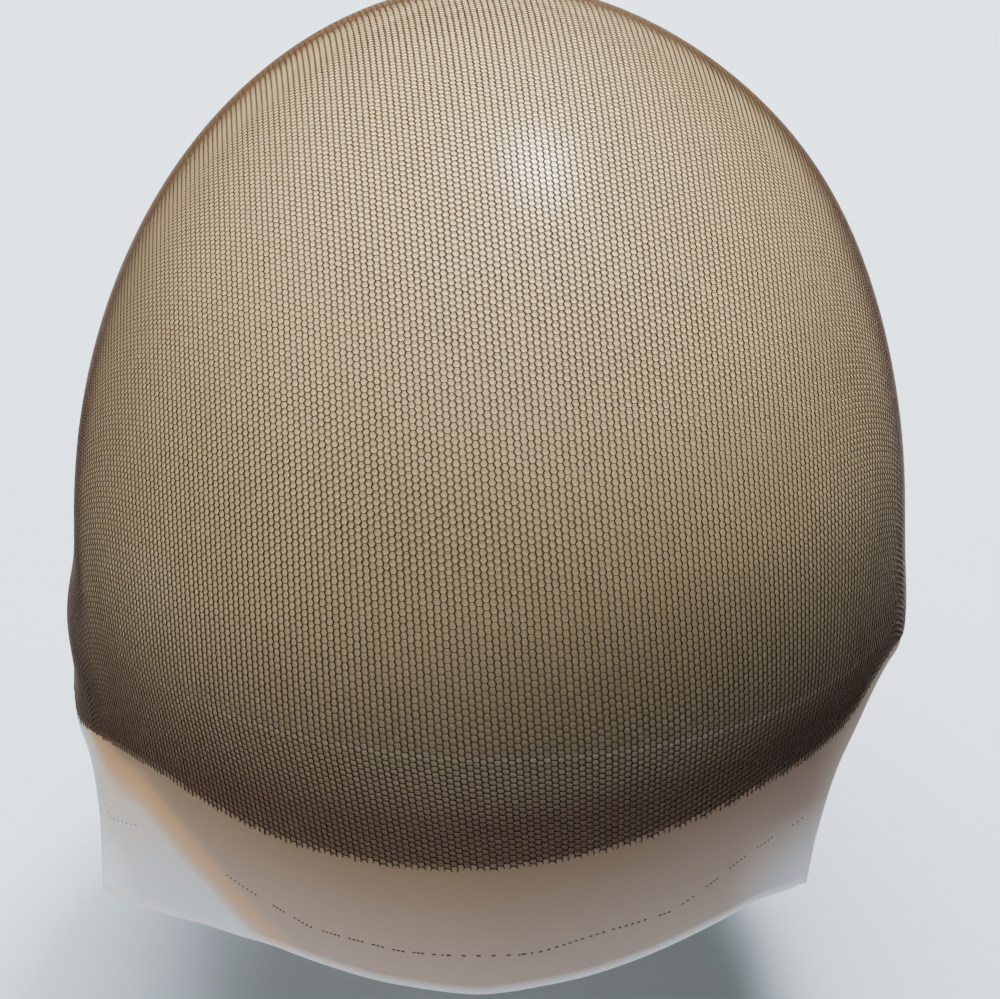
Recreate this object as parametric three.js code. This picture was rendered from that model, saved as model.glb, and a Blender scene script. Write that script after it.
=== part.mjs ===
// Lace wig base: a full cap of dark hexagonal lace net over a thin pale film skin.
// The dome falls to a crease, and below it a short band hangs straight down.
// In front the film comes out below the raw-cut net as an apron with two free corners.
//
// Millimetres, +Z up. The forehead side faces -Y and +X is to the right of someone who looks at it.
// The origin is the middle of the open underside, at the cap's widest level.

import * as THREE from 'three';

// Driving dimensions
const HALF_WIDTH = 78.25; // side to side
const HALF_LENGTH = 100.75; // forehead to back
const CROWN_HEIGHT = 94.75; // crown above the widest level
const WALL = 1; // thickness of each layer
const LAYER_GAP = 0.3; // air between the net and the film

// The crease lies in a plane that is high over the forehead and low at the nape.
const CREASE_LEVEL = -13.3; // its height over the middle of the cap
const CREASE_SLOPE = -0.48; // its rise for each millimetre towards the back

// Azimuths between which the wall below the widest level turns from straight to closing in round the nape
const NAPE_FROM = THREE.MathUtils.degToRad(90);
const NAPE_FULL = THREE.MathUtils.degToRad(150);

// Mesh density
const DOME_ROWS = 11;
const NET_BAND_ROWS = 2;
const APRON_ROWS = 3;
const COLUMN_STEP = 6.5; // widest step between two columns, in degrees

// The raw lower edges, a row for each station round the cap. Azimuth is in degrees from the middle of the
// forehead towards +X. net and film are how far each layer hangs below the crease, and flare is how far
// the film's lower edge stands out from a straight drop.
const EDGES = [
  { azimuth: -180, net: 6, film: 12, flare: 0 },
  { azimuth: -150, net: 8, film: 14, flare: 0 },
  { azimuth: -120, net: 14, film: 20, flare: 0.5 },
  { azimuth: -105, net: 22, film: 27, flare: 2.2 },
  { azimuth: -90, net: 32, film: 35, flare: 3.2 },
  { azimuth: -78, net: 36, film: 38, flare: 2.3 },
  { azimuth: -75, net: 35, film: 38, flare: 1.8 },
  { azimuth: -72, net: 33, film: 42, flare: 1 },
  { azimuth: -66, net: 28.5, film: 52, flare: 2.2 },
  { azimuth: -60, net: 25, film: 63.7, flare: 5.8 },
  { azimuth: -50, net: 22.6, film: 59, flare: 4 },
  { azimuth: -40, net: 24.5, film: 56.5, flare: 2 },
  { azimuth: -30, net: 27.2, film: 56.4, flare: 0.8 },
  { azimuth: -15, net: 28.4, film: 61, flare: 0 },
  { azimuth: 0, net: 27.8, film: 61.9, flare: 0 },
  { azimuth: 15, net: 25, film: 58.4, flare: 0 },
  { azimuth: 30, net: 21, film: 53.2, flare: 0 },
  { azimuth: 42, net: 17.5, film: 49.9, flare: 0 },
  { azimuth: 50, net: 16, film: 50.9, flare: 1 },
  { azimuth: 51.5, net: 15.4, film: 38, flare: 0.8 },
  { azimuth: 55, net: 14.4, film: 24.5, flare: 0.5 },
  { azimuth: 60, net: 11.4, film: 18, flare: 0.3 },
  { azimuth: 65, net: 7.2, film: 12, flare: 0 },
  { azimuth: 70, net: 5.3, film: 9, flare: 0 },
  { azimuth: 80, net: 9, film: 12, flare: 0.5 },
  { azimuth: 95, net: 9, film: 13, flare: 0.5 },
  { azimuth: 120, net: 7, film: 13, flare: 0 },
  { azimuth: 150, net: 6, film: 12, flare: 0 },
  { azimuth: 180, net: 6, film: 12, flare: 0 },
];

// The columns of the mesh: the stations, with even steps between them. The last station is the first again.
function columnsRound(stations) {
  const columns = [];
  for (let i = 0; i + 1 < stations.length; i++) {
    const [from, to] = [stations[i], stations[i + 1]];
    const steps = Math.ceil((to.azimuth - from.azimuth) / COLUMN_STEP);
    for (let step = 0; step < steps; step++) {
      const share = step / steps;
      columns.push({
        turn: THREE.MathUtils.degToRad(THREE.MathUtils.lerp(from.azimuth, to.azimuth, share)),
        net: THREE.MathUtils.lerp(from.net, to.net, share),
        film: THREE.MathUtils.lerp(from.film, to.film, share),
        flare: THREE.MathUtils.lerp(from.flare, to.flare, share),
      });
    }
  }
  return columns;
}

// How much the wall closes in below the widest level: not in front and at the sides, and fully at the nape.
function napeShare(turn) {
  return THREE.MathUtils.smoothstep(Math.abs(turn), NAPE_FROM, NAPE_FULL);
}

// A point of the dome, inset from its outer face. The fall is 0 at the crown and 90 degrees at the widest level.
function domePoint(inset, turn, fall) {
  const reach = fall < Math.PI / 2 ? Math.sin(fall) : 1 - napeShare(turn) * (1 - Math.sin(fall));
  return new THREE.Vector3(
    (HALF_WIDTH - inset) * Math.sin(turn) * reach,
    -(HALF_LENGTH - inset) * Math.cos(turn) * reach,
    (CROWN_HEIGHT - inset) * Math.cos(fall),
  );
}

// How far the dome falls before it meets the plane of the crease.
function creaseFall(turn) {
  const tilt = -CREASE_SLOPE * HALF_LENGTH * Math.cos(turn);
  const reach = Math.hypot(CROWN_HEIGHT, tilt);
  return Math.acos(CREASE_LEVEL / reach) - Math.atan2(tilt, CROWN_HEIGHT);
}

// A point of the band, hanging below the crease. At the nape, where the wall closes in, the band follows it in.
function bandPoint(inset, column, drop) {
  const { turn, film, flare } = column;
  const fall = creaseFall(turn);
  const closing = napeShare(turn) * Math.min(0, Math.cos(fall));
  const down = new THREE.Vector3(
    (HALF_WIDTH - inset) * Math.sin(turn) * closing,
    -(HALF_LENGTH - inset) * Math.cos(turn) * closing,
    -(CROWN_HEIGHT - inset) * Math.sin(fall),
  ).normalize();
  const out = new THREE.Vector3(Math.sin(turn), -Math.cos(turn), 0);
  return domePoint(inset, turn, fall)
    .addScaledVector(down, drop)
    .addScaledVector(out, flare * (drop / film) ** 2);
}

// The rows of one column from below the crown to the lower edge. drops lists those below the crease.
function columnRows(inset, column, drops) {
  const rows = [];
  for (let row = 1; row <= DOME_ROWS; row++) {
    rows.push(domePoint(inset, column.turn, (creaseFall(column.turn) * row) / DOME_ROWS));
  }
  for (const drop of drops) rows.push(bandPoint(inset, column, drop));
  return rows;
}

function netDrops(column) {
  const drops = [];
  for (let row = 1; row <= NET_BAND_ROWS; row++) drops.push((column.net * row) / NET_BAND_ROWS);
  return drops;
}

function filmDrops(column) {
  const drops = netDrops(column);
  for (let row = 1; row <= APRON_ROWS; row++) {
    drops.push(THREE.MathUtils.lerp(column.net, column.film, row / APRON_ROWS));
  }
  return drops;
}

// A closed wall of one layer: the outer face, the inner face turned round, and the rim between them.
function layerGeometry(inset, dropsOf) {
  const columns = columnsRound(EDGES);
  const points = [];
  const triangles = [];

  function addFace(faceInset, facesOut) {
    const crown = points.push(domePoint(faceInset, 0, 0)) - 1;
    const starts = columns.map((column) => {
      const start = points.length;
      points.push(...columnRows(faceInset, column, dropsOf(column)));
      return start;
    });
    const rowCount = (points.length - crown - 1) / columns.length;
    const add = (a, b, c) => triangles.push(...(facesOut ? [a, b, c] : [a, c, b]));
    starts.forEach((left, i) => {
      const right = starts[(i + 1) % starts.length];
      add(crown, left, right);
      for (let row = 0; row + 1 < rowCount; row++) {
        add(left + row, left + row + 1, right + row + 1);
        add(left + row, right + row + 1, right + row);
      }
    });
    return starts.map((start) => start + rowCount - 1);
  }

  const outerRim = addFace(inset, true);
  const innerRim = addFace(inset + WALL, false);
  outerRim.forEach((outer, i) => {
    const next = (i + 1) % outerRim.length;
    triangles.push(outerRim[next], outer, innerRim[i]);
    triangles.push(outerRim[next], innerRim[i], innerRim[next]);
  });

  const geometry = new THREE.BufferGeometry().setFromPoints(points);
  geometry.setIndex(triangles);
  geometry.computeVertexNormals();
  return geometry;
}

// Dark lace net: the outer layer of the cap, cut raw all round.
function laceNet() {
  const material = new THREE.MeshStandardMaterial({ color: 0x3b3126, roughness: 0.7, metalness: 0 });
  const mesh = new THREE.Mesh(layerGeometry(0, netDrops), material);
  mesh.name = 'lace_net';
  return mesh;
}

// Pale film skin: the inner layer, longer than the net, with the apron in front.
function innerFilm() {
  const material = new THREE.MeshStandardMaterial({ color: 0xd9c79b, roughness: 0.35, metalness: 0 });
  const mesh = new THREE.Mesh(layerGeometry(WALL + LAYER_GAP, filmDrops), material);
  mesh.name = 'inner_film';
  return mesh;
}

const wigBase = new THREE.Group();
wigBase.add(laceNet(), innerFilm());

export default wigBase;
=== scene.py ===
# Lace wig base: a cap of dark hexagonal lace net over a thin ivory film skin.
# The film comes first, then the guide line inked on its apron, then the net drawn over it.

import math

import bmesh
import bpy
import numpy as np
from mathutils import Matrix, Vector


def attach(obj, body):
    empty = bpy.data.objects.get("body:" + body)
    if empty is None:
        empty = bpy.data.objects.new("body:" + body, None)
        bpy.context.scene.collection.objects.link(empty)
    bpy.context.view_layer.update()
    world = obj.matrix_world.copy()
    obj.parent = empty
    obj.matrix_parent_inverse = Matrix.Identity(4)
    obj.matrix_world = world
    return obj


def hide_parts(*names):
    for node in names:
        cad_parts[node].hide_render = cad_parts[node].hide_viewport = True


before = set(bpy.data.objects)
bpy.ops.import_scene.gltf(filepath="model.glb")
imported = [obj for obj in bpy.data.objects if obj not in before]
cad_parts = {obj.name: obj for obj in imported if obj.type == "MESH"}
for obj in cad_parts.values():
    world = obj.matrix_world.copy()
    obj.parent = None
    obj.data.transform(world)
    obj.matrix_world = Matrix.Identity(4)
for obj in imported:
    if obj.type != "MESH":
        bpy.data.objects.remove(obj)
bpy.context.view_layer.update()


# Film skin
# A thin ivory plastic film, formed warm over the crown so that it fits without a fold. It was cut by hand
# below the crease: a narrow margin at the sides and nape, and an apron with two free corners in front.

MM = 0.001
HALF_WIDTH = 78.25  # side to side, in millimetres as all the cap's sizes are
HALF_LENGTH = 100.75  # forehead to back
CROWN_HEIGHT = 94.75  # crown above the widest level
CREASE_LEVEL = -13.3  # height of the crease's plane over the middle of the cap
CREASE_TILT = 0.48  # how much the plane rises for each millimetre towards the forehead
CREASE_ROUNDING = 2.5  # the wall turns from dome to band over about this length

# Azimuths between which the wall below the widest level turns from straight to closing in round the nape
NAPE_FROM, NAPE_FULL = math.radians(90), math.radians(150)

# The raw lower edges, a row for each station round the cap: azimuth in degrees from the forehead towards +X,
# how far the net and the film hang below the crease, and how far the film's edge stands out.
STATIONS = (
    # azimuth, net, film, flare
    (-180, 6, 12, 0),
    (-150, 8, 14, 0),
    (-120, 14, 20, 0.5),
    (-105, 22, 27, 2.2),
    (-90, 32, 35, 3.2),
    (-78, 36, 38, 2.3),
    (-75, 35, 38, 1.8),
    (-72, 33, 42, 1),
    (-66, 28.5, 52, 2.2),
    (-60, 25, 63.7, 5.8),
    (-50, 22.6, 59, 4),
    (-40, 24.5, 56.5, 2),
    (-30, 27.2, 56.4, 0.8),
    (-15, 28.4, 61, 0),
    (0, 27.8, 61.9, 0),
    (15, 25, 58.4, 0),
    (30, 21, 53.2, 0),
    (42, 17.5, 49.9, 0),
    (50, 16, 50.9, 1),
    (51.5, 15.4, 38, 0.8),
    (55, 14.4, 24.5, 0.5),
    (60, 11.4, 18, 0.3),
    (65, 7.2, 12, 0),
    (70, 5.3, 9, 0),
    (80, 9, 12, 0.5),
    (95, 9, 13, 0.5),
    (120, 7, 13, 0),
    (150, 6, 12, 0),
    (180, 6, 12, 0),
)
FILM_CORNERS = (-60, 50)  # azimuths of the apron's sharp corners
AZIMUTH_STEP = 0.25  # degrees between the points of the rounded edges
ROUNDED_OVER = 8  # degrees over which all other kinks of the edges are rounded off


def ramp(values, start, end):
    """0 up to the start and 1 beyond the end, with an even rise between. The end may lie below the start."""
    return np.clip((values - start) / (end - start), 0, 1)


station_azimuths, *station_values = np.array(STATIONS, float).T
azimuths = np.arange(-180, 180, AZIMUTH_STEP)
from_corner = np.min([np.abs(azimuths - corner) for corner in FILM_CORNERS], 0)
rounded_share = ramp(from_corner, 0, ROUNDED_OVER / 2)
weights = np.hanning(round(ROUNDED_OVER / AZIMUTH_STEP) + 1)
weights /= weights.sum()


def rounded_edge(values):
    """Station values at fine steps round the cap, with their kinks rounded off away from the corners."""
    straight = np.interp(azimuths, station_azimuths, values)
    rounded = np.convolve(np.pad(straight, len(weights) // 2, mode="wrap"), weights, "valid")
    return straight + (rounded - straight) * rounded_share


net_hang, film_hang, film_flare = (rounded_edge(values) for values in station_values)


def along_edge(turn, values):
    """An edge value at an azimuth in radians."""
    return np.interp(np.degrees(turn), azimuths, values, period=360)


def crease_fall(turn):
    """The dome's fall down to the crease. It is 0 at the crown and a right angle at the widest level."""
    tilt = CREASE_TILT * HALF_LENGTH * np.cos(turn)
    return np.arccos(CREASE_LEVEL / np.hypot(CROWN_HEIGHT, tilt)) - np.arctan2(tilt, CROWN_HEIGHT)


def wall_depth(turn, fall):
    """Length along the wall from the crown."""
    radius = np.hypot(HALF_WIDTH * np.sin(turn), HALF_LENGTH * np.cos(turn))
    return (radius + CROWN_HEIGHT) / 2 * fall + (radius - CROWN_HEIGHT) / 4 * np.sin(2 * fall)


def crease_depth(turn):
    """Length along the wall from the crown to the crease."""
    return wall_depth(turn, crease_fall(turn))


CORRECTIONS = 6  # each leaves less than a tenth of the error


def wall_fall(turn, depth):
    """The fall at a depth: wall_depth turned round by a few corrections."""
    radius = np.hypot(HALF_WIDTH * np.sin(turn), HALF_LENGTH * np.cos(turn))
    mean = (radius + CROWN_HEIGHT) / 2
    fall = depth / mean
    for _ in range(CORRECTIONS):
        fall = fall + (depth - wall_depth(turn, fall)) / mean
    return fall


def cap_wall(turn, depth, inset):
    """Points of the cap's wall in metres, by azimuth, depth from the crown and inset from the outer face."""
    crease = crease_fall(turn)
    bend_depth = wall_depth(turn, crease)
    drop = np.maximum(depth - bend_depth, 0)
    fall = wall_fall(turn, np.minimum(depth, bend_depth))
    nape = ramp(np.abs(turn), NAPE_FROM, NAPE_FULL)
    nape = nape * nape * (3 - 2 * nape)
    rounding = CREASE_ROUNDING / 2 * np.maximum(np.cos(crease), 0)
    inset = inset + rounding * np.exp(-np.abs(depth - bend_depth) / CREASE_ROUNDING)

    side, front, flat = np.sin(turn), -np.cos(turn), np.zeros_like(turn)
    half_width, half_length, height = HALF_WIDTH - inset, HALF_LENGTH - inset, CROWN_HEIGHT - inset
    reach = np.where(fall < math.pi / 2, np.sin(fall), 1 - nape * (1 - np.sin(fall)))
    dome = np.stack([half_width * side * reach, half_length * front * reach, height * np.cos(fall)], -1)
    closing = nape * np.minimum(0, np.cos(crease))
    down = np.stack([
        half_width * side * closing, half_length * front * closing, -height * np.sin(crease),
    ], -1)
    down /= np.linalg.norm(down, axis=-1, keepdims=True)
    flare = along_edge(turn, film_flare) * (drop / along_edge(turn, film_hang)) ** 2
    out = np.stack([side, front, flat], -1)
    return (dome + down * drop[..., None] + out * flare[..., None]) * MM


FILM_COLUMNS = 288
DOME_ROWS, BAND_ROWS, APRON_ROWS = 28, 8, 14
FILM_INSET = 1.2  # from the cap's outer face
FILM_THICKNESS = 0.35
APRON_WAVE = 0.3  # how far the free apron swings in and out
FULL_SWING = 35  # an apron at least this long swings that far
SWING_WAVES = (  # the waves that the swing is made of
    # share, waves in a full turn, start in radians
    (1, 7.3, 0.6),
    (0.5, 13.1, 2.0),
)
EDGE_SHOWS = 1.1  # how much of the apron lies behind the open cells of the net's edge


def apron_top(turn):
    """How far below the crease the apron starts."""
    return along_edge(turn, net_hang) - EDGE_SHOWS


def apron_swing(turn, share):
    """How far the apron stands out at a share of its length. It swings more where it is long."""
    long_share = ramp(along_edge(turn, film_hang) - apron_top(turn), 0, FULL_SWING)
    wave = sum(height * np.sin(count * turn + start) for height, count, start in SWING_WAVES)
    return APRON_WAVE * long_share * wave * share ** 2


BULGES = (  # where the cap stands out
    # azimuth, drop, height, and how wide that is each way in degrees and in millimetres
    (-86, 13, 2.4, 16, 13),
    (80, 6, 1.7, 16, 13),
    (128, -70, 1.8, 26, 38),
)
FILM_FOLLOWS = 0.9  # the film's share of that: the net stands off it there


def bulge(turn, drop):
    """How far the net stands out at an azimuth and a drop below the crease."""
    heights = 0
    for azimuth, middle, height, turn_width, drop_width in BULGES:
        away = np.hypot((np.degrees(turn) - azimuth) / turn_width, (drop - middle) / drop_width)
        heights = heights + height * np.exp(-away ** 2)
    return heights


# A straight strip spun into a sleeve. Its height counts the three zones down: the dome, the band under the
# net, and the apron.
film_bm = bmesh.new()
levels = np.concatenate([
    np.linspace(0, 1, DOME_ROWS, endpoint=False),
    np.linspace(1, 2, BAND_ROWS, endpoint=False),
    np.linspace(2, 3, APRON_ROWS + 1),
])
strip = [film_bm.verts.new((0, -1, -level)) for level in levels]
for upper, lower in zip(strip, strip[1:]):
    film_bm.edges.new((upper, lower))
bmesh.ops.spin(
    film_bm, geom=film_bm.verts[:] + film_bm.edges[:], cent=(0, 0, 0), axis=(0, 0, 1),
    angle=2 * math.pi, steps=FILM_COLUMNS, use_merge=True,
)

# The sleeve drawn to the cap's shape, with the marks that its colours follow.
sleeve = np.array([vert.co for vert in film_bm.verts])
film_turn = np.arctan2(sleeve[:, 0], -sleeve[:, 1])
zone = -sleeve[:, 2]
band_drop, film_drop = apron_top(film_turn), along_edge(film_turn, film_hang)
band_share, apron_share = np.clip(zone - 1, 0, 1), np.clip(zone - 2, 0, 1)
film_depth = crease_depth(film_turn) * np.minimum(zone, 1)
film_depth += band_drop * band_share + (film_drop - band_drop) * apron_share
drop = film_depth - crease_depth(film_turn)
film_inset = FILM_INSET - apron_swing(film_turn, apron_share) - FILM_FOLLOWS * bulge(film_turn, drop)
for vert, place in zip(film_bm.verts, cap_wall(film_turn, film_depth, film_inset)):
    vert.co = place

# The golden tone fades into the band's painted shade between two levels, counted down from the crease:
# sooner on the right side, where more shade is painted, and later on the left side, which is painted as lit.
BAND_FROM, BAND_FULL = -24, 18
BAND_SHADED, BAND_LIT = 10, 12  # how much higher and lower they lie there
SHADE_COMES, SHADE_GOES = (-5, 45), (110, 90)  # azimuths from no shade to full shade, at its two sides
LIGHT_COMES = (-40, -75)  # azimuths from the middle's tone to the lit side's
azimuth = np.degrees(film_turn)
# Painted shade on the right side, and painted light on the left that holds the band's painted shade back.
painted_shade = ramp(azimuth, *SHADE_COMES) * ramp(azimuth, *SHADE_GOES)
painted_light = ramp(azimuth, *LIGHT_COMES)
painted_band_shade = ramp(drop + BAND_SHADED * painted_shade - BAND_LIT * painted_light, BAND_FROM, BAND_FULL)

# The left corner hangs free, below a line that starts at the net's edge and falls towards the middle.
LEFT_FREE_AZIMUTHS = (-80, 0)
FREE_LINE_DROP = 31  # the line's drop below the crease as far as its bend
FREE_LINE_BEND = -53  # the azimuth where it starts to fall
FREE_LINE_FALL, FREE_LINE_RUN = 21, 21  # its fall over so many degrees
FREE_LINE_POWER = 1.3  # over 1, so that it falls ever more steeply
FREE_LINE_WIDTH = 10  # the change across it
free_line = FREE_LINE_DROP + FREE_LINE_FALL * (
    np.maximum(azimuth - FREE_LINE_BEND, 0) / FREE_LINE_RUN
) ** FREE_LINE_POWER
free_left = ramp(drop - free_line, -FREE_LINE_WIDTH / 2, FREE_LINE_WIDTH / 2)
free_left *= (azimuth > LEFT_FREE_AZIMUTHS[0]) & (azimuth < LEFT_FREE_AZIMUTHS[1])

# The right corner is free too, less plainly, and the tip of the left one is white: a painted highlight where
# it turns up to the light.
RIGHT_FREE_AZIMUTHS, RIGHT_FREE_DROPS = (36, 50), (28, 46)  # from lying to free
RIGHT_FREE_END = 60  # the azimuth past its edge
RIGHT_FREE_SHARE = 0.8
TIP_AZIMUTH, TIP_DROP = -60, 64
TIP_TURN, TIP_LENGTH = 9, 17  # how far the white reaches, in degrees and in millimetres
# The raw hem turns pale as a painted highlight, where the film's thin cut edge catches the light.
HEM_HIGHLIGHT = (0.96, 0.99)  # shares of the apron's length between which the raw hem turns pale
free_right = ramp(azimuth, *RIGHT_FREE_AZIMUTHS) * ramp(drop, *RIGHT_FREE_DROPS) * (azimuth < RIGHT_FREE_END)
from_tip = np.hypot((azimuth - TIP_AZIMUTH) / TIP_TURN, (drop - TIP_DROP) / TIP_LENGTH)
marks = {
    "drop": drop,
    "painted_shade": painted_shade,
    "painted_band_shade": painted_band_shade,
    "apron": apron_share,
    "free": np.maximum(free_left, RIGHT_FREE_SHARE * free_right) * (apron_share > 0),
    "tip_highlight": ramp(from_tip, 1, 0),
    "hem_highlight": ramp(apron_share, *HEM_HIGHLIGHT),
}
for name, values in marks.items():
    layer = film_bm.verts.layers.float.new(name)
    for vert, value in zip(film_bm.verts, values):
        vert[layer] = float(value)

SAME_POINT = 0.01  # points closer than this are merged, as they are at the crown
SHARP_EDGE = math.radians(50)  # only the film's cut edge turns more sharply
bmesh.ops.remove_doubles(film_bm, verts=film_bm.verts[:], dist=SAME_POINT * MM)
bmesh.ops.recalc_face_normals(film_bm, faces=film_bm.faces[:])
bmesh.ops.solidify(film_bm, geom=film_bm.faces[:], thickness=FILM_THICKNESS * MM)
for face in film_bm.faces:
    face.smooth = True
for edge in film_bm.edges:
    edge.smooth = edge.calc_face_angle(0) < SHARP_EDGE


def new_object(name, bm):
    """A mesh object of a finished bmesh, standing at the origin."""
    mesh = bpy.data.meshes.new(name)
    bm.to_mesh(mesh)
    bm.free()
    made = bpy.data.objects.new(name, mesh)
    bpy.context.collection.objects.link(made)
    return made


film = new_object("film_skin", film_bm)


def srgb(hex_colour):
    """Linear colour of an sRGB hex value such as c8a27a."""
    shares = [int(hex_colour[i:i + 2], 16) / 255 for i in (0, 2, 4)]
    return [s / 12.92 if s <= 0.04045 else ((s + 0.055) / 1.055) ** 2.4 for s in shares] + [1]


def add_node(tree, kind, inputs, **settings):
    """One node with its settings, and its inputs by name or number as values or as sockets to link from."""
    node = tree.nodes.new(kind)
    for name, value in settings.items():
        setattr(node, name, value)
    for key, value in inputs.items():
        if isinstance(value, bpy.types.NodeSocket):
            tree.links.new(value, node.inputs[key])
        else:
            node.inputs[key].default_value = value
    return node


def new_material(name):
    """An empty node material, with its output."""
    material = bpy.data.materials.new(name)
    material.use_nodes = True
    material.node_tree.nodes.clear()
    return material, material.node_tree, add_node(material.node_tree, "ShaderNodeOutputMaterial", {})


# Calendered ivory vinyl film: smooth, softly glossy, golden under the net, and milky where it hangs free,
# with the light that comes through it there painted into its colour. The light that its raw hem catches is a
# painted highlight.
FILM_CLOUD = 24  # size of the cloudy tone, in millimetres
FILM_GRAIN = 0.9  # size of the faint orange peel

film_material, tree, output = new_material("calendered_ivory_film")
place = add_node(tree, "ShaderNodeTexCoord", {}).outputs["Object"]
cloud = add_node(tree, "ShaderNodeTexNoise", {"Vector": place, "Scale": 1 / (FILM_CLOUD * MM), "Detail": 3.0})
grain = add_node(tree, "ShaderNodeTexNoise", {"Vector": place, "Scale": 1 / (FILM_GRAIN * MM), "Detail": 2.0})

# The shares by which its tones mix: the marks on the mesh, and those that follow from them.
# The pale line along the crease is a painted highlight, where the turn of the wall catches the light.
CREASE_LINE = 0.9  # half the width of the pale line where it was creased
CREASE_HIGHLIGHT = 0.15  # how pale that is
APRON_STARTS = 0.001  # the share of the apron's length where its own tones start
# The warm glow is painted light, standing in for light through the film where it leaves the form, and it is
# left out where shade is painted.
PAINTED_GLOW = 2.4  # strength of the warm glow, which shows where the lit side is half free
share = {
    name: add_node(tree, "ShaderNodeAttribute", {}, attribute_name=name).outputs["Fac"] for name in marks
}
share["cloud"] = cloud.outputs["Fac"]
from_crease = add_node(tree, "ShaderNodeMath", {0: share["drop"]}, operation="ABSOLUTE").outputs[0]
share["crease"] = add_node(tree, "ShaderNodeMapRange", {
    "Value": from_crease, "From Max": CREASE_LINE, "To Min": CREASE_HIGHLIGHT, "To Max": 0.0,
}).outputs[0]
share["on_apron"] = add_node(
    tree, "ShaderNodeMath", {0: share["apron"], 1: APRON_STARTS}, operation="GREATER_THAN",
).outputs[0]
lying_share = add_node(tree, "ShaderNodeMath", {0: 1.0, 1: share["free"]}, operation="SUBTRACT").outputs[0]
both = add_node(tree, "ShaderNodeMath", {0: share["free"], 1: lying_share}, operation="MULTIPLY").outputs[0]
full_painted_glow = add_node(tree, "ShaderNodeMath", {0: both, 1: PAINTED_GLOW}, operation="MULTIPLY").outputs[0]
lit_share = add_node(tree, "ShaderNodeMath", {0: 1.0, 1: share["painted_shade"]}, operation="SUBTRACT").outputs[0]
share["painted_glow"] = add_node(
    tree, "ShaderNodeMath", {0: full_painted_glow, 1: lit_share}, operation="MULTIPLY",
).outputs[0]

# Under the net it is golden on the crown and darker on the band, where the net's shade is painted.
# The apron is tan below the net's edge, pinkish lower down and milky in the free corners, with the light
# through them painted in. Each tone lies between two colours, or tones from further up.
FILM_TONES = (
    # tone, the share that mixes it, the colour or tone at none of it, and the one at all of it
    ("gold", "cloud", "c2af82", "d1c097"),
    ("band", "painted_shade", "7a5c48", "523c2e"),
    ("under_net", "painted_band_shade", "gold", "band"),
    ("with_crease_highlight", "crease", "under_net", "d6cbbb"),
    # The apron's two copies are painted light and painted shade, mixed by the side's painted shade into its
    # tan.
    ("apron_painted_lit", "apron", "907457", "c0a694"),
    ("apron_painted_shaded", "apron", "7a604d", "aa9586"),
    ("tan", "painted_shade", "apron_painted_lit", "apron_painted_shaded"),
    ("lying", "on_apron", "with_crease_highlight", "tan"),
    ("milk", "apron", "d2b48b", "dee3e8"),
    ("lit_tip_highlight", "tip_highlight", "milk", "ffffff"),
    ("free", "free", "lying", "lit_tip_highlight"),
    ("with_painted_glow", "painted_glow", "free", "da9852"),
    ("with_hem_highlight", "hem_highlight", "with_painted_glow", "f0ece8"),
)
COLOUR_A, COLOUR_B, MIXED_COLOUR = 6, 7, 2  # the Mix node's sockets for colours
tones = {}
for tone, mixed_by, *ends in FILM_TONES:
    first, second = (tones[end] if end in tones else srgb(end) for end in ends)
    tones[tone] = add_node(tree, "ShaderNodeMix", {
        "Factor": share[mixed_by], COLOUR_A: first, COLOUR_B: second,
    }, data_type="RGBA").outputs[MIXED_COLOUR]
roughness = add_node(
    tree, "ShaderNodeMapRange", {"Value": cloud.outputs["Fac"], "To Min": 0.26, "To Max": 0.34},
).outputs[0]
bump = add_node(
    tree, "ShaderNodeBump", {"Height": grain.outputs["Fac"], "Strength": 0.06, "Distance": 0.1 * MM},
).outputs[0]
film_shader = add_node(tree, "ShaderNodeBsdfPrincipled", {
    "Base Color": tones["with_hem_highlight"], "Roughness": roughness, "IOR": 1.5, "Specular IOR Level": 0.15,
    "Normal": bump,
})
tree.links.new(film_shader.outputs[0], output.inputs["Surface"])

film.data.materials.append(film_material)
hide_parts("inner_film")
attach(film, "root")


# Guide line
# A broken line of small dots of brown ink along the apron, put on with a pen as a guide for the trimming cut.
# It runs beside the lower edge, rises towards both sides and goes on across the left corner.

DOT_RADIUS = 0.26  # across the line
DOT_HEIGHT = 0.05  # how far the ink stands up
LOOK_AHEAD = 0.1  # the share of a run at which a dot is aimed

# The line's way over the apron: azimuth in degrees, and drop below the crease in millimetres.
GUIDE_LINE = (
    # azimuth, drop
    (-37, 41.6),
    (-29.6, 45.8),
    (-24, 49.2),
    (-16.6, 50.6),
    (-11.6, 51.6),
    (3.2, 51.2),
    (8, 50.4),
    (14.4, 47.6),
    (19.2, 46),
    (26.8, 44.6),
    (30.2, 42.2),
    (38, 36),
    (42.8, 33.8),
    (51.5, 31.6),
)

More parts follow.
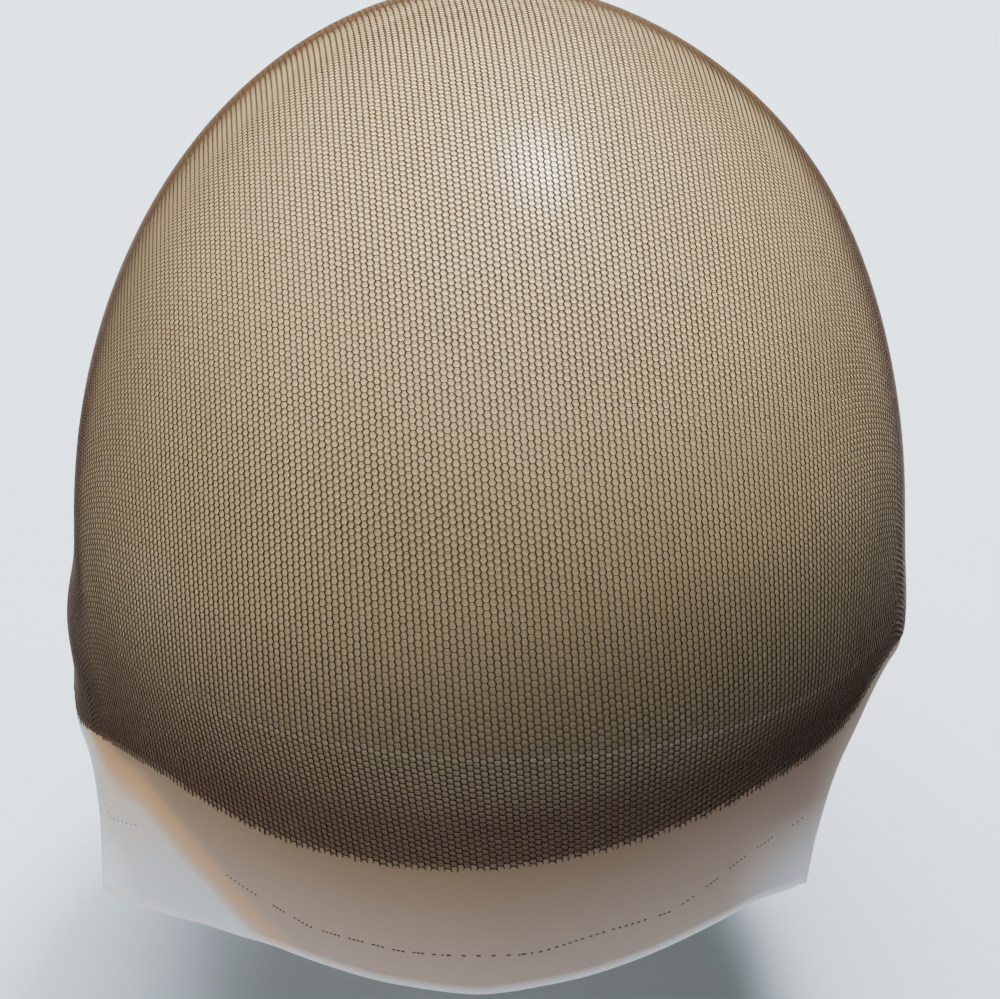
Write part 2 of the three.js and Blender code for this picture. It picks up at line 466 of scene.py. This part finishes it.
# Runs of dots along it, with each dot's length in radii
RUNS = (
    # from azimuth, to azimuth, number of dots, length
    (-37, -32.5, 8, 0.8),
    (-29.7, -28.2, 4, 1.0),
    (-26.6, -24.2, 5, 1.0),
    (-22.4, -20.2, 5, 1.0),
    (-18.6, -16.8, 4, 1.1),
    (-15.2, -13.9, 3, 1.3),
    (-12.3, -11.0, 3, 1.3),
    (-9.4, -8.2, 3, 1.3),
    (-6.6, 5.8, 7, 1.9),
    (-5.4, -4.7, 2, 0.9),
    (5.2, 7.0, 3, 0.9),
    (8.2, 10.4, 3, 1.5),
    (11.4, 14.0, 4, 1.3),
    (15.2, 17.0, 3, 1.3),
    (18.4, 23.0, 6, 1.3),
    (25.2, 26.6, 3, 1.3),
    (28.6, 30.2, 3, 1.2),
    (32.4, 34.0, 4, 1.0),
    (36.0, 38.4, 5, 0.9),
    (40.6, 43.0, 5, 0.9),
    (46.8, 48.6, 3, 1.0),
)

# Runs across the left corner, between points of the apron
LEFT_RUNS = (
    # from azimuth and drop, to azimuth and drop, number of dots, length
    ((-67.5, 41.4), (-61.5, 44.7), 6, 1.5),
    ((-60.5, 45), (-54, 41), 7, 1.0),
)

dots_bm = bmesh.new()


def ink_dot(turn, drop, toward, length):
    """A flat drop of ink on the film, drawn out along its way towards a second point of the line."""
    turns, drops = np.array([(turn, drop), toward]).T
    shares = (drops - apron_top(turns)) / (along_edge(turns, film_hang) - apron_top(turns))
    inset = FILM_INSET - apron_swing(turns, shares)
    here, ahead = (Vector(p) for p in cap_wall(turns, crease_depth(turns) + drops, inset))
    outward = Vector((math.sin(turn), -math.cos(turn) * HALF_WIDTH / HALF_LENGTH, 0)).normalized()
    way = (ahead - here).normalized()
    up = outward.cross(way).normalized()
    turned = Matrix((way, up, outward)).transposed().to_4x4()
    sized = Matrix.Diagonal((DOT_RADIUS * length * MM, DOT_RADIUS * MM, DOT_HEIGHT * MM, 1))
    bmesh.ops.create_uvsphere(
        dots_bm, u_segments=8, v_segments=4, radius=1, matrix=Matrix.Translation(here) @ turned @ sized,
    )


def inked_run(start, end, count, length):
    """Dots at even steps between two points of the apron, each an azimuth in degrees and a drop."""
    for step in range(count):
        share = step / max(count - 1, 1)
        turn = math.radians(start[0] + (end[0] - start[0]) * share)
        drop = start[1] + (end[1] - start[1]) * share
        ahead_turn = turn + math.radians(end[0] - start[0]) * LOOK_AHEAD
        ahead_drop = drop + (end[1] - start[1]) * LOOK_AHEAD
        ink_dot(turn, drop, (ahead_turn, ahead_drop), length)


line_azimuths, line_drops = zip(*GUIDE_LINE)
for first, last, count, length in RUNS:
    first_drop, last_drop = np.interp((first, last), line_azimuths, line_drops)
    inked_run((first, first_drop), (last, last_drop), count, length)
for start, end, count, length in LEFT_RUNS:
    inked_run(start, end, count, length)

for face in dots_bm.faces:
    face.smooth = True
dots = new_object("guide_dots", dots_bm)

# Dried brown marker ink: matt, slightly uneven in strength from dot to dot.
INK_PATCH = 6  # size of the stronger and weaker stretches, in millimetres

ink_material, tree, output = new_material("dried_brown_ink")
place = add_node(tree, "ShaderNodeTexCoord", {}).outputs["Object"]
strength = add_node(
    tree, "ShaderNodeTexNoise", {"Vector": place, "Scale": 1 / (INK_PATCH * MM)},
).outputs["Fac"]
ink_colour = add_node(tree, "ShaderNodeMix", {
    "Factor": strength, COLOUR_A: srgb("382e28"), COLOUR_B: srgb("6a5b51"),
}, data_type="RGBA").outputs[MIXED_COLOUR]
ink_shader = add_node(tree, "ShaderNodeBsdfPrincipled", {"Base Color": ink_colour, "Roughness": 0.6})
tree.links.new(ink_shader.outputs[0], output.inputs["Surface"])

dots.data.materials.append(ink_material)
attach(dots, "root")


# Lace net
# Fine knitted lace of dark brown monofilament: zigzag yarns run from front to back, and short thin links join
# them into hexagonal cells. It is stretched over the film and cut raw, so open cells and stubs line its edge.

CELL_WIDTH = 1.145  # between the columns of cells, in the flat lace
CELL_LENGTH = 1.24  # along a column
LINK_HALF, LINK_HALF_FRONT = 0.4, 0.47  # half the length of a link, and of the longer ones near the forehead
FRONT_LINKS = (-115, -75)  # the stretch over which they shorten, counted back from the crown
YARN = 0.14  # half the width of the zigzag yarns
LINK = 0.09  # half the width of the links
NET_BASE, NET_TOP = 1.05, 0.9  # inset of the threads' underside and of their tops
UNEVEN = 0.03  # how far knots stray from their place
LEAN = 0.086  # the columns' run to the side for each millimetre towards the forehead
SLANT = 0.07  # the rows' run towards the back for each millimetre to the right
BOW = 0.0041  # the rows curve back at both sides, by this much for each square millimetre
BOW_REACH = 200  # and less than that beyond about this distance
EASE = 0.05  # how much the lace is drawn out all round at the reach, from nothing at the crown
DRAWN = 0.4  # how much more it is drawn out at the sides
SPREAD_ENDS = 0.41  # how far its columns are spread at the front and back, and closed up at the sides
SPREAD_CROSS = 0.18  # how far they are spread at all four of these, and closed up halfway between them
PULL_POWER = 2.5  # how late the last three set in on the way down from the crown
REACH = 150  # the distance from the crown that these shares are for
COLUMNS_EACH_SIDE, ROWS_FRONT, ROWS_BACK = 126, 122, 170

# Knots of the flat lace. Each belongs to the link in front of one cell, at its left or right end.
SEED = 7
rng = np.random.default_rng(SEED)
column_numbers = np.arange(-COLUMNS_EACH_SIDE, COLUMNS_EACH_SIDE + 1)
row_numbers = np.arange(-ROWS_FRONT, ROWS_BACK + 1)
column, row, end = np.meshgrid(column_numbers, row_numbers, (-1, 1), indexing="ij")
along = (row + 0.5 * (column % 2) - 0.5) * CELL_LENGTH + rng.normal(0, UNEVEN, column.shape)
link_half = np.interp(along, FRONT_LINKS, (LINK_HALF_FRONT, LINK_HALF))
across = column * CELL_WIDTH + end * link_half + rng.normal(0, UNEVEN, column.shape)
across, along = across.ravel(), along.ravel()

# The flat lace laid on the cap: skewed and bowed as it was pulled, then drawn down the wall from the crown.
laid_across = across - LEAN * along
laid_along = along + SLANT * across + BOW * across ** 2 / (1 + (across / BOW_REACH) ** 2)
spread = np.hypot(laid_across, laid_along)
heading = np.arctan2(laid_across / HALF_WIDTH, -laid_along / HALF_LENGTH)
pull = ramp(spread, 0, REACH) ** PULL_POWER
knot_depth = spread * (1 + EASE * (spread / REACH) ** 2) * (1 + DRAWN * pull * np.sin(heading) ** 2)
spread_turn = SPREAD_ENDS * np.sin(2 * heading) / 2 + SPREAD_CROSS * np.sin(4 * heading) / 4
knot_turn = heading + pull * spread_turn
knot_drop = knot_depth - crease_depth(knot_turn)
knot_bulge = bulge(knot_turn, knot_drop)
knot_base = cap_wall(knot_turn, knot_depth, NET_BASE - knot_bulge)
knot_top = cap_wall(knot_turn, knot_depth, NET_TOP - knot_bulge)
inside_edge = knot_drop < along_edge(knot_turn, net_hang)

# Each cell's six knots, counted round from its front left, and the cells across its six sides.
row_count = len(row_numbers)
last_cell = len(column_numbers) * row_count - 1
cell = np.arange(last_cell + 1)
stagger = column_numbers[cell // row_count] % 2
right, left = cell + row_count + stagger, cell - row_count + stagger
sides = np.stack([cell - 1, right - 1, right, cell + 1, left, left - 1], -1).clip(0, last_cell)
knots = np.stack([
    2 * cell, 2 * cell + 1, 2 * right, 2 * (cell + 1) + 1, 2 * (cell + 1), 2 * left + 1,
], -1).clip(0, len(across) - 1)

# The cells beside the border of the grid lack some neighbours, so they aren't made.
in_grid = (cell // row_count > 1) & (cell // row_count < len(column_numbers) - 2)
in_grid &= (cell % row_count > 1) & (cell % row_count < row_count - 3)

NO_LENGTH = 1e-9  # added so that corners that coincide, at the border of the grid, divide by something
LEAST_OPENING = 0.6  # keeps the foot from running far out of a narrow corner


def unit(vectors):
    """The directions of vectors."""
    return vectors / (np.linalg.norm(vectors, axis=-1, keepdims=True) + NO_LENGTH)


# Foot of the threads in each corner of a cell, where the insides of two threads meet.
corner = knot_base[knots]
to_next = unit(np.roll(corner, -1, 1) - corner)
to_last = unit(np.roll(corner, 1, 1) - corner)
opening = np.linalg.norm(np.cross(to_next, to_last), axis=-1, keepdims=True).clip(LEAST_OPENING)
half_next = np.array([LINK, YARN, YARN, LINK, YARN, YARN])[:, None] * MM  # of the thread to the next corner
half_last = np.roll(half_next, 1, 0)
foot = corner + (to_last * half_next + to_next * half_last) / opening
points = np.concatenate([knot_top, foot.reshape(-1, 3)])

# The same points in the flat lace, for the panels' own maps. A foot lies this share of the way into its cell.
FOOT_IN = 0.3
flat_knots = np.stack([across, along], -1)
cell_middles = flat_knots[knots].mean(1, keepdims=True)
flat_feet = flat_knots[knots] * (1 - FOOT_IN) + cell_middles * FOOT_IN
flat_points = np.concatenate([flat_knots, flat_feet.reshape(-1, 2)])


def foot_number(cells, corners):
    """The number of a foot among the points, which hold the knots first."""
    return len(knot_top) + cells * 6 + corners % 6


def strand_number(cells, side):
    """The number of the thread along a side of a cell. Sides 3 to 5 are the sides 0 to 2 of cells beyond."""
    return np.where(side % 6 < 3, cells, sides[cells, side % 6]) * 3 + side % 3


# Each thread between two knots, by the cell that counts it as its side 0, 1 or 2. Side 0 is a link.
strand_cell, strand_side = np.divmod(np.arange(3 * len(cell)), 3)
strand_ends = np.stack([knots[strand_cell, strand_side], knots[strand_cell, strand_side + 1]], -1)
inside_ends = inside_edge[strand_ends]
cut_to_size = np.where(strand_side == 0, inside_ends.all(1), inside_ends.any(1)) & in_grid[strand_cell]

# Bits that the cut sets loose fall away. Knots that hang together end up with the same, lowest number.
kept_ends = strand_ends[cut_to_size]
cloth = np.arange(len(across))
settled = False
while not settled:
    lowest = cloth[kept_ends].min(1)
    joined = cloth.copy()
    for numbers in cloth[kept_ends].T:
        np.minimum.at(joined, numbers, lowest)
    joined = joined[joined]
    settled = (joined == cloth).all()
    cloth = joined
main_cloth = np.bincount(cloth[kept_ends[:, 0]]).argmax()
cut_to_size &= cloth[strand_ends[:, 0]] == main_cloth


def lace_panel(name, strands):
    """A mesh of three-sided threads that share their knots, closed at every cut end."""
    cells, side = strand_cell[strands], strand_side[strands]
    beyond = sides[cells, side]
    near = np.stack([foot_number(cells, side), foot_number(cells, side + 1)], -1)
    far = np.stack([foot_number(beyond, side + 3), foot_number(beyond, side + 4)], -1)
    tops = strand_ends[strands]
    quads = np.concatenate([
        np.concatenate([tops, near[:, ::-1]], -1), np.concatenate([tops[:, ::-1], far[:, ::-1]], -1),
        np.concatenate([near, far], -1),
    ])

    # Round a knot lie three cells, and a thread between each two of them.
    made = np.zeros(3 * len(cell), bool)
    made[strands] = True
    first, turned = np.divmod(np.arange(2 * len(cell)), 2)
    second, third = sides[first, (turned + 5) % 6], sides[first, turned]
    feet = np.stack([
        foot_number(first, turned), foot_number(second, turned + 2), foot_number(third, turned + 4),
    ], -1)
    present = made[np.stack([
        strand_number(first, turned + 5), strand_number(third, turned + 4), strand_number(first, turned),
    ], -1)]
    count = present.sum(1)
    triangles = [feet[count > 1][:, ::-1]]
    for gap in range(3):
        top, one, other = np.arange(len(feet)), feet[:, gap], feet[:, (gap + 1) % 3]
        triangles.append(np.stack([top, one, other], -1)[(count == 2) & ~present[:, gap]])
        triangles.append(np.stack([top, other, one], -1)[(count == 1) & present[:, gap]])
    triangles = np.concatenate(triangles)

    used, numbers = np.unique(np.concatenate([quads.ravel(), triangles.ravel()]), return_inverse=True)
    faces = numbers[:quads.size].reshape(-1, 4).tolist() + numbers[quads.size:].reshape(-1, 3).tolist()
    mesh = bpy.data.meshes.new(name)
    mesh.from_pydata(points[used].tolist(), [], faces)
    mesh.polygons.foreach_set("use_smooth", np.ones(len(faces), bool))

    thin = np.zeros(len(faces))
    thin[:len(quads)] = np.tile(side == 0, 3)
    mesh.attributes.new("link", "FLOAT", "FACE").data.foreach_set("value", thin)
    flat = flat_points[used] - flat_points[used].min(0)
    flat = flat / flat.max()
    corners_of_faces = np.empty(len(mesh.loops), int)
    mesh.loops.foreach_get("vertex_index", corners_of_faces)
    mesh.uv_layers.new(name="OFBake").data.foreach_set("uv", flat[corners_of_faces].ravel())
    panel = bpy.data.objects.new(name, mesh)
    bpy.context.collection.objects.link(panel)
    return panel


# Dark brown nylon monofilament: a little sheen along the yarns, and paler links that let light through.
YARN_TWIST = 0.5  # length of the twist's bumps, in millimetres
TONE_PATCH = 11  # size of the lighter and darker patches

lace_material, tree, output = new_material("brown_nylon_lace")
place = add_node(tree, "ShaderNodeTexCoord", {}).outputs["Object"]
patch = add_node(tree, "ShaderNodeTexNoise", {"Vector": place, "Scale": 1 / (TONE_PATCH * MM), "Detail": 4.0})
twist = add_node(tree, "ShaderNodeTexNoise", {"Vector": place, "Scale": 1 / (YARN_TWIST * MM), "Detail": 1.0})
thin = add_node(tree, "ShaderNodeAttribute", {}, attribute_name="link").outputs["Fac"]
yarn_colour = add_node(tree, "ShaderNodeMix", {
    "Factor": patch.outputs["Fac"], COLOUR_A: srgb("36261a"), COLOUR_B: srgb("4c3624"),
}, data_type="RGBA").outputs[MIXED_COLOUR]
lace_colour = add_node(tree, "ShaderNodeMix", {
    "Factor": thin, COLOUR_A: yarn_colour, COLOUR_B: srgb("564530"),
}, data_type="RGBA").outputs[MIXED_COLOUR]
bump = add_node(
    tree, "ShaderNodeBump", {"Height": twist.outputs["Fac"], "Strength": 0.3, "Distance": 0.05 * MM},
).outputs[0]
roughness = add_node(
    tree, "ShaderNodeMapRange", {"Value": patch.outputs["Fac"], "To Min": 0.42, "To Max": 0.6},
).outputs[0]
lace_shader = add_node(tree, "ShaderNodeBsdfPrincipled", {
    "Base Color": lace_colour, "Roughness": roughness, "IOR": 1.53, "Specular IOR Level": 0.1, "Normal": bump,
    "Sheen Weight": 0.6, "Sheen Roughness": 0.25, "Sheen Tint": srgb("aca0a8"),
})
tree.links.new(lace_shader.outputs[0], output.inputs["Surface"])

# One cloth, divided from front to back into panels that each stay a light mesh.
PANELS = 6
strands_kept = np.nonzero(cut_to_size)[0]
front_to_back = strands_kept[np.argsort(along[strand_ends[strands_kept, 0]], kind="stable")]
for number, strands in enumerate(np.array_split(front_to_back, PANELS), 1):
    panel = lace_panel(f"lace_panel_{number}", strands)
    panel.data.materials.append(lace_material)
    width, length = np.ptp(flat_knots[strand_ends[strands].ravel()], axis=0) * MM
    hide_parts("lace_net")
    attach(panel, "root")


# Floor, lights and camera
# A plain pale floor under the cap, a large soft light high behind it, a small window-like one beside that
# and a weak one on the left. The floor and the large light aren't seen in reflections, so that the film's
# edges don't mirror them, and a second lamp in the window's place is seen only there, as a glint.

FLOOR_LEVEL = -115 * MM
FLOOR_HALF = 3  # metres
floor_bm = bmesh.new()
bmesh.ops.create_grid(
    floor_bm, x_segments=1, y_segments=1, size=FLOOR_HALF, matrix=Matrix.Translation((0, 0, FLOOR_LEVEL)),
)
floor = new_object("floor", floor_bm)
floor_material, tree, output = new_material("pale_floor")
floor_shader = add_node(tree, "ShaderNodeBsdfPrincipled", {"Base Color": srgb("c8daf0"), "Roughness": 0.8})
tree.links.new(floor_shader.outputs[0], output.inputs["Surface"])
floor.data.materials.append(floor_material)
floor.visible_glossy = False


def soft_light(name, place, size, power, colour):
    """A square area light aimed at the middle of the cap."""
    data = bpy.data.lights.new(name, "AREA")
    data.size = size
    data.energy = power
    data.color = srgb(colour)[:3]
    lamp = bpy.data.objects.new(name, data)
    lamp.location = place
    lamp.rotation_euler = (-Vector(place)).to_track_quat("-Z", "Y").to_euler()
    bpy.context.collection.objects.link(lamp)
    return lamp


WINDOW_PLACE = (0.25, 0.75, 1.1)  # in metres, as the lights' sizes are. Their power is in watts.
ROOM_LIGHT = 0.24
key = soft_light("key", place=(-0.12, 0.5, 1.12), size=1.0, power=48, colour="fffaf2")
key.visible_glossy = False
soft_light("window", place=WINDOW_PLACE, size=0.26, power=30, colour="fffdf8")
glint = soft_light("glint", place=WINDOW_PLACE, size=0.2, power=60, colour="fffdf8")
glint.visible_diffuse = False
soft_light("left_fill", place=(-1.2, -0.2, 0.5), size=0.8, power=3.6, colour="fff8ee")
world = bpy.data.worlds.new("pale_room")
world.use_nodes = True
world.node_tree.nodes["Background"].inputs["Color"].default_value = srgb("efeeec")
world.node_tree.nodes["Background"].inputs["Strength"].default_value = ROOM_LIGHT
bpy.context.scene.world = world

IMAGE_WIDTH = 1000  # pixels
PIXELS_PER_MM = 5.335  # at the middle of the cap
CAMERA_DISTANCE = 800 * MM
CAMERA_TILT = math.radians(45)
CAMERA_ROLL = math.radians(1)
CAMERA_SHIFT = 0.0105  # of the image's width: the cap stands a little left of the middle
SENSOR_WIDTH = 36  # millimetres, as the lens is
camera_data = bpy.data.cameras.new("camera")
camera_data.sensor_width = SENSOR_WIDTH
camera_data.lens = PIXELS_PER_MM * CAMERA_DISTANCE / MM * SENSOR_WIDTH / IMAGE_WIDTH
camera_data.shift_x = CAMERA_SHIFT
camera = bpy.data.objects.new("camera", camera_data)
bpy.context.collection.objects.link(camera)
camera.matrix_world = (
    Matrix.Rotation(CAMERA_TILT, 4, "X") @ Matrix.Rotation(CAMERA_ROLL, 4, "Z")
    @ Matrix.Translation((0, 0, CAMERA_DISTANCE))
)
bpy.context.scene.camera = camera
